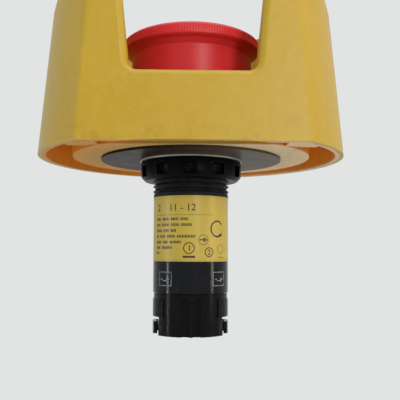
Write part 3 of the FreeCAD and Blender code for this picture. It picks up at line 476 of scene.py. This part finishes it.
def turned(name, outline, around=192):
    """A turned piece: a ring of vertices is extruded from point to point of its section,
    and the last ring is bridged to the first."""
    choose(None)
    here = outline[0]
    bpy.ops.mesh.primitive_circle_add(vertices=around, radius=here.x * mm,
                                      location=(0, 0, here.y * mm))
    piece = bpy.context.object
    piece.name = name
    bpy.ops.object.transform_apply(location=True, rotation=True, scale=True)
    bpy.ops.object.mode_set(mode="EDIT")
    bpy.ops.mesh.select_mode(type="VERT")
    bpy.ops.mesh.select_all(action="SELECT")
    for point in outline[1:]:
        bpy.ops.mesh.extrude_region_move(
            TRANSFORM_OT_translate={"value": (0, 0, (point.y - here.y) * mm)})
        scale = point.x / here.x
        bpy.ops.transform.resize(value=(scale, scale, 1), center_override=(0, 0, 0))
        here = point
    bpy.ops.mesh.select_all(action="DESELECT")
    bpy.ops.mesh.select_non_manifold()
    bpy.ops.mesh.bridge_edge_loops()
    bpy.ops.mesh.select_all(action="SELECT")
    bpy.ops.mesh.remove_doubles(threshold=1e-7)
    bpy.ops.mesh.normals_make_consistent(inside=False)
    bpy.ops.object.mode_set(mode="OBJECT")
    return piece


def smooth(piece, angle):
    choose(piece)
    bpy.ops.object.shade_smooth_by_angle(angle=math.radians(angle))


ring_top, ring_foot = ring_high.z / mm, ring_low.z / mm
ring = turned("locking_ring_nut", soften([
    (ring_bore, ring_top), (ring_radius, ring_top, 0.35),
    (ring_radius, ring_foot + 1.3, 1.2), (ring_radius - 1.3, ring_foot, 1.0),
    (ring_bore, ring_foot, 0.3)]), around=180)
for grip in range(grip_count):
    turn = math.radians(grip_turn + 360 / grip_count * grip)
    choose(None)
    bpy.ops.mesh.primitive_cube_add(size=1, rotation=(0, 0, turn), location=(
        (ring_radius + overshoot) * mm * math.cos(turn),
        (ring_radius + overshoot) * mm * math.sin(turn),
        (ring_top - grip_drop - grip_tall / 2) * mm))
    cutter = bpy.context.object
    cutter.scale = (2 * (overshoot + grip_deep) * mm, grip_wide * mm, grip_tall * mm)
    bpy.ops.object.transform_apply(location=True, rotation=True, scale=True)
    rounding = cutter.modifiers.new("rounding", "BEVEL")
    rounding.width, rounding.segments = 0.45 * mm, 3
    bpy.ops.object.modifier_apply(modifier=rounding.name)
    choose(ring)
    pocket = ring.modifiers.new("pocket", "BOOLEAN")
    pocket.operation, pocket.object, pocket.solver = "DIFFERENCE", cutter, "EXACT"
    bpy.ops.object.modifier_apply(modifier=pocket.name)
    bpy.data.objects.remove(cutter)
smooth(ring, 40)
ring_black = Paint("ring_black_plastic", Specular_IOR_Level=0.05)
cloud = ring_black.noise(4.0, detail=4.0)
rub = ring_black.noise(0.7, detail=5.0, rough=0.65).between(0.58, 0.74)
tone = ring_black.mix(cloud, (0.0020, 0.0020, 0.0028, 1), (0.0056, 0.0052, 0.0056, 1))
ring_black.feed("Base Color", ring_black.mix(rub * 0.6, tone, (0.060, 0.050, 0.044, 1)))
ring_black.feed("Roughness", 0.24 + 0.18 * cloud + 0.16 * rub)
ring_black.bump(ring_black.noise(0.5, detail=3.0), 0.03)
fit(ring, ring_black, "ring", "housing_black", "locking_ring")

zinc_steel = Paint("zinc_plated_steel", Metallic=1.0)
spangle = zinc_steel.noise(1.2, detail=5.0, rough=0.7)
tarnish = zinc_steel.noise(3.5, detail=4.0).between(0.50, 0.75)
tone = zinc_steel.mix(spangle, (0.46, 0.46, 0.45, 1), (0.66, 0.65, 0.62, 1))
zinc_steel.feed("Base Color", zinc_steel.mix(tarnish * 0.6, tone, (0.36, 0.31, 0.24, 1)))
zinc_steel.feed("Roughness", 0.38 + 0.24 * spangle)
zinc_steel.bump(zinc_steel.noise(0.3, (1.0, 1.0, 0.2)), 0.008)
fit(recast("lock_washer_plate", "lock_washer"), zinc_steel, "washer", "zinc_steel",
    "lock_washer")


def dress(node, paint):
    """Gives a CAD node its finish where the frame's own shape is shown."""
    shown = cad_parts[node]
    shown.data.materials.clear()
    shown.data.materials.append(paint.material)
    choose(shown)
    bpy.ops.object.shade_smooth_by_angle(angle=math.radians(30))


# ---------------------------------------------------------------------------------------
# Bezel collar: the black sleeve round the top of the barrel that the button's skirt
# slides over. It is the same moulding material as the barrel.
# ---------------------------------------------------------------------------------------
fit(recast("bezel_collar_sleeve", "bezel_collar"), housing_black, "housing",
    "housing_black", "bezel_collar")

# ---------------------------------------------------------------------------------------
# Plunger, stem and latch: pale engineering plastic inside the barrel. The stem turns in
# the plunger, its lugs catch under the latch ring, and a rubber ring seals the bore.
# ---------------------------------------------------------------------------------------
inner_plastic = Paint("inner_natural_plastic", Specular_IOR_Level=0.45)
cloud = inner_plastic.noise(5.0, detail=4.0)
grease = inner_plastic.noise(1.6, detail=5.0).between(0.56, 0.72)
tone = inner_plastic.mix(cloud, (0.56, 0.53, 0.45, 1), (0.68, 0.65, 0.57, 1))
inner_plastic.feed("Base Color", inner_plastic.mix(grease * 0.4, tone, (0.38, 0.33, 0.24, 1)))
inner_plastic.feed("Roughness", 0.46 - 0.20 * grease + 0.1 * cloud)
inner_plastic.bump(inner_plastic.noise(0.4, detail=3.0), 0.01)
for name, node, body in (
        ("plunger_sleeve", "plunger", "plunger"), ("stem_shaft", "stem", "button"),
        ("latch_ring_plate", "latch_ring", "housing"),
        ("spring_seat_ring", "spring_seat", "housing"),
        ("contact_carrier_block", "contact_carrier", "plunger")):
    fit(recast(name, node), inner_plastic, body, "inner_plastic", node)
dress("plunger_seal", seal_rubber)

# ---------------------------------------------------------------------------------------
# Springs and clip: drawn spring steel. The outer spring lifts the button, the inner one
# turns it home, and the short ones press the contact bridges up.
# ---------------------------------------------------------------------------------------
spring_steel = Paint("spring_steel_wire", Metallic=1.0)
drawn = spring_steel.noise(0.5, (1.0, 1.0, 3.0), 4.0)
oil = spring_steel.noise(2.0, detail=3.0)
tone = spring_steel.mix(drawn, (0.30, 0.29, 0.27, 1), (0.52, 0.51, 0.49, 1))
spring_steel.feed("Base Color", spring_steel.mix(oil * 0.4, tone, (0.26, 0.22, 0.17, 1)))
spring_steel.feed("Roughness", 0.22 + 0.25 * drawn)
spring_steel.bump(drawn, 0.006)
for node in ("return_spring", "reset_spring", "bridge_springs", "stem_clip"):
    dress(node, spring_steel)

# ---------------------------------------------------------------------------------------
# Contacts: stamped brass strips with riveted silver faces. The bridges ride in the
# carrier, and the fixed plates are clamped in the base.
# ---------------------------------------------------------------------------------------
contact_brass = Paint("contact_brass", Metallic=1.0)
tarnish = contact_brass.noise(1.5, detail=5.0)
brushed = contact_brass.noise(0.25, (0.1, 1.0, 1.0), 3.0)
tone = contact_brass.mix(tarnish, (0.60, 0.40, 0.15, 1), (0.72, 0.54, 0.26, 1))
contact_brass.feed("Base Color", contact_brass.mix(tarnish.between(0.55, 0.75) * 0.5, tone,
                                                   (0.34, 0.20, 0.09, 1)))
contact_brass.feed("Roughness", 0.24 + 0.22 * brushed)
contact_brass.bump(brushed, 0.005)
contact_silver = Paint("contact_silver", Metallic=1.0)
pitting = contact_silver.noise(0.3, detail=5.0, rough=0.7)
contact_silver.feed("Base Color", contact_silver.mix(
    pitting.between(0.50, 0.75) * 0.6, (0.80, 0.79, 0.76, 1), (0.34, 0.31, 0.28, 1)))
contact_silver.feed("Roughness", 0.20 + 0.30 * pitting)
contact_silver.bump(pitting, 0.01)
for node in ("contact_bridges", "terminal_plates"):
    dress(node, contact_brass)
for node in ("moving_contacts", "fixed_contacts"):
    dress(node, contact_silver)

# ---------------------------------------------------------------------------------------
# Terminal base: the black moulding that closes the barrel, with deep screw wells and two
# hooked tabs. It is duller than the barrel. Its screws and clamp washers are zinc-plated steel.
# ---------------------------------------------------------------------------------------
base_black = Paint("base_black_plastic", Specular_IOR_Level=0.07)
cloud = base_black.noise(5.0, detail=4.0)
rub = base_black.noise(0.9, (1.0, 1.0, 0.3), 5.0, 0.65).between(0.60, 0.76)
tone = base_black.mix(cloud, (0.0026, 0.0034, 0.0050, 1), (0.0090, 0.0086, 0.0086, 1))
base_black.feed("Base Color", base_black.mix(rub * 0.5, tone, (0.050, 0.042, 0.034, 1)))
base_black.feed("Roughness", 0.11 + 0.12 * cloud + 0.18 * rub)
base_black.bump(base_black.noise(0.8, detail=2.0), 0.02)
fit(recast("terminal_base_moulding", "terminal_base"), base_black, "housing",
    "housing_black", "terminal_base")
for node in ("clamp_washers", "terminal_screws"):
    dress(node, zinc_steel)

# ---------------------------------------------------------------------------------------
# Button head: a glossy red moulding, 40 mm across, with a finely serrated edge to grip
# and a skirt that slides over the collar. It is turned as one hollow shell.
# ---------------------------------------------------------------------------------------
head_low, head_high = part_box("button_head")
head_radius, head_top, skirt_foot = head_high.x / mm, head_high.z / mm, head_low.z / mm
band_top = head_top - 1.7
band_foot = band_top - 2.6
skirt_radius, skirt_inside = 17.7, 16.1
insert_bore, insert_seat = 13.08, head_top - 1.2
crown_foot = head_top - 8.1
hub_radius, hub_foot = 6.5, skirt_foot + 7.8
screw_bore, screw_seat = 3.7, head_top - 3.1
stem_bore, stem_seat = 3.52, head_top - 4.7
serrations, serration_depth = 160, 0.13
head = turned("button_head_shell", soften([
    (insert_bore, insert_seat), (insert_bore, head_top, 0.25), (15.2, head_top, 2.0),
    (18.6, head_top - 0.75, 2.0), (head_radius, band_top, 0.6),
    (head_radius, band_foot, 0.8), (18.8, band_foot - 0.7, 0.8),
    (skirt_radius, band_foot - 2.1, 0.5), (skirt_radius, skirt_foot, 0.4),
    (skirt_inside, skirt_foot, 0.4), (skirt_inside, crown_foot, 0.6),
    (hub_radius, crown_foot, 0.6), (hub_radius, hub_foot, 0.3), (stem_bore, hub_foot, 0.2),
    (stem_bore, stem_seat), (screw_bore, screw_seat), (screw_bore, insert_seat)]), around=960)
for vertex in head.data.vertices:
    spot = vertex.co / mm
    reach = math.hypot(spot.x, spot.y)
    if reach > head_radius - 0.75 and spot.z > band_foot + 0.3:
        rib = 0.5 + 0.5 * math.cos(serrations * math.atan2(spot.y, spot.x))
        rise = min(1.0, (spot.z - band_foot - 0.3) / 0.5, (band_top + 0.4 - spot.z) / 0.5)
        shrink = 1 - serration_depth * rib * max(0.0, rise) / reach
        vertex.co.x *= shrink
        vertex.co.y *= shrink
smooth(head, 50)
button_red = Paint("button_red_plastic", Specular_IOR_Level=0.30)
haze = button_red.noise(9.0)
grime = button_red.noise(0.9, detail=6.0).between(0.58, 0.78)
tone = button_red.mix(haze, (0.765, 0.026, 0.030, 1), (0.825, 0.040, 0.044, 1))
button_red.feed("Base Color", button_red.mix(grime * 0.35, tone, (0.60, 0.024, 0.028, 1)))
button_red.feed("Roughness", 0.30 + 0.16 * haze + 0.12 * grime)
button_red.bump(button_red.noise(0.25, detail=2.0), 0.006)
fit(head, button_red, "button", "button_red", "button_head")

# ---------------------------------------------------------------------------------------
# Button insert and screw: a shallow red cap in the middle of the head, with two white
# arrows that show which way to turn it. It hides the screw that holds the head.
# ---------------------------------------------------------------------------------------
insert = recast("button_insert_cap", "button_insert")
fit(insert, button_red, "button", "button_red", "button_insert")
arrow_radius, arrow_line, arrow_height, tip_size = 8.4, 1.3, 0.02, 1.9
arrows = []
for start in (20, 200):
    arrows.append(arc_mark(0, 0, arrow_radius, arrow_line, start, start + 118))
    turn = math.radians(start)
    middle = arrow_radius - arrow_line / 2
    choose(None)
    bpy.ops.mesh.primitive_circle_add(vertices=3, radius=tip_size * mm, fill_type="NGON", location=(
        middle * math.cos(turn) * mm, 0, middle * math.sin(turn) * mm))
    tip = bpy.context.object
    tip.rotation_euler = (math.pi / 2, math.pi - turn, 0)
    bpy.ops.object.transform_apply(location=True, rotation=True, scale=True)
    arrows.append(tip)
arrows = together("button_arrows", arrows)
choose(arrows)
bpy.ops.object.mode_set(mode="EDIT")
bpy.ops.mesh.select_all(action="SELECT")
bpy.ops.mesh.subdivide(number_cuts=2)
bpy.ops.object.mode_set(mode="OBJECT")
for vertex in arrows.data.vertices:
    hit = insert.ray_cast((vertex.co.x, vertex.co.z, 0.1), (0, 0, -1))
    vertex.co = (vertex.co.x, vertex.co.z, hit[1].z + arrow_height * mm)
arrow_white = Paint("arrow_white_ink", Specular_IOR_Level=0.4)
fade = arrow_white.noise(1.6, detail=5.0)
arrow_white.feed("Base Color", arrow_white.mix(fade.between(0.50, 0.85), (0.76, 0.75, 0.72, 1),
                                               (0.66, 0.40, 0.38, 1)))
arrow_white.feed("Roughness", 0.35 + 0.2 * fade)
fit(arrows, arrow_white, "button", "button_red")
dress("head_screw", zinc_steel)

# ---------------------------------------------------------------------------------------
# Studio: the button hangs free in front of a pale background, a little above the camera.
# A narrow window of light stands in front on the right, a thin one on the left, and the
# floor lies well below, so that the open underside of the guard is lit from it.
# ---------------------------------------------------------------------------------------
backdrop_colour = (0.755, 0.775, 0.768, 1.0)
scene = bpy.context.scene


def area_light(name, place, aim, width, height, power, colour):
    choose(None)
    bpy.ops.object.light_add(type="AREA", location=place)
    lamp = bpy.context.object
    lamp.name = name
    lamp.rotation_euler = (Vector(aim) - Vector(place)).to_track_quat("-Z", "Y").to_euler()
    lamp.data.shape = "RECTANGLE"
    lamp.data.size, lamp.data.size_y = width, height
    lamp.data.energy = power
    lamp.data.color = colour


choose(None)
bpy.ops.object.camera_add(location=(-1.9 * mm, -182.0 * mm, -27.2 * mm))
camera = bpy.context.object
camera.name = "studio_camera"
camera.data.sensor_width = 36.0
camera.data.lens = 55.96
camera.data.clip_start = 0.01
turn = Matrix.Rotation(-0.0251, 4, "Z") @ Matrix.Rotation(math.pi / 2 + 0.0849, 4, "X")
camera.rotation_euler = (turn @ Matrix.Rotation(0.0038, 4, "Z")).to_euler()
scene.camera = camera

area_light("window_light", (0.22, -0.62, 0.20), (0, 0, 0.02), 0.10, 0.34, 1.5, (1, 0.985, 0.96))
area_light("right_light", (0.75, -0.30, 0.15), (0, 0, 0), 0.12, 0.5, 1.7, (1, 0.90, 0.76))
area_light("left_light", (-0.75, -0.22, 0.05), (0, 0, 0), 0.020, 0.4, 1.1, (0.90, 0.96, 1))
area_light("top_light", (0.15, -0.25, 0.75), (0, 0, 0.02), 0.5, 0.5, 2.3, (1, 1, 1))

choose(None)
bpy.ops.mesh.primitive_circle_add(vertices=96, radius=3.0, fill_type="NGON",
                                  location=(0, 0, -0.32))
floor = bpy.context.object
floor.name = "studio_floor"


def backdrop(tree, kind):
    """What a camera, mirror or lens sees of the background, and where it sees it."""
    path = tree.nodes.new("ShaderNodeLightPath")
    seen = path.outputs["Is Camera Ray"]
    for other in ("Is Glossy Ray", "Is Transmission Ray"):
        larger = tree.nodes.new("ShaderNodeMath")
        larger.operation = "MAXIMUM"
        tree.links.new(seen, larger.inputs[0])
        tree.links.new(path.outputs[other], larger.inputs[1])
        seen = larger.outputs[0]
    shown = tree.nodes.new(kind)
    shown.inputs["Color"].default_value = backdrop_colour
    return seen, shown.outputs[0]


def blend_in(tree, factor, plain, shown, output):
    mixed = tree.nodes.new("ShaderNodeMixShader")
    for index, socket in enumerate((factor, plain, shown)):
        tree.links.new(socket, mixed.inputs[index])
    tree.links.new(mixed.outputs[0], tree.nodes[output].inputs["Surface"])


world = bpy.data.worlds.new("studio_world")
scene.world = world
world.use_nodes = True
ambient = world.node_tree.nodes["Background"]
ambient.inputs["Color"].default_value = (0.95, 0.97, 1.0, 1.0)
ambient.inputs["Strength"].default_value = 0.34
seen, shown = backdrop(world.node_tree, "ShaderNodeBackground")
blend_in(world.node_tree, seen, ambient.outputs[0], shown, "World Output")

ground = Paint("studio_floor", Base_Color=(0.74, 0.74, 0.73, 1), Roughness=0.9)
floor.data.materials.append(ground.material)
seen, shown = backdrop(ground.tree, "ShaderNodeEmission")
across, along, up = ground.axes()
far = (across * across + along * along).between(200.0 ** 2, 420.0 ** 2)
blend_in(ground.tree, (far * Signal(ground, seen)).socket, ground.shader.outputs[0], shown,
         "Material Output")
scene.view_settings.view_transform = "Standard"
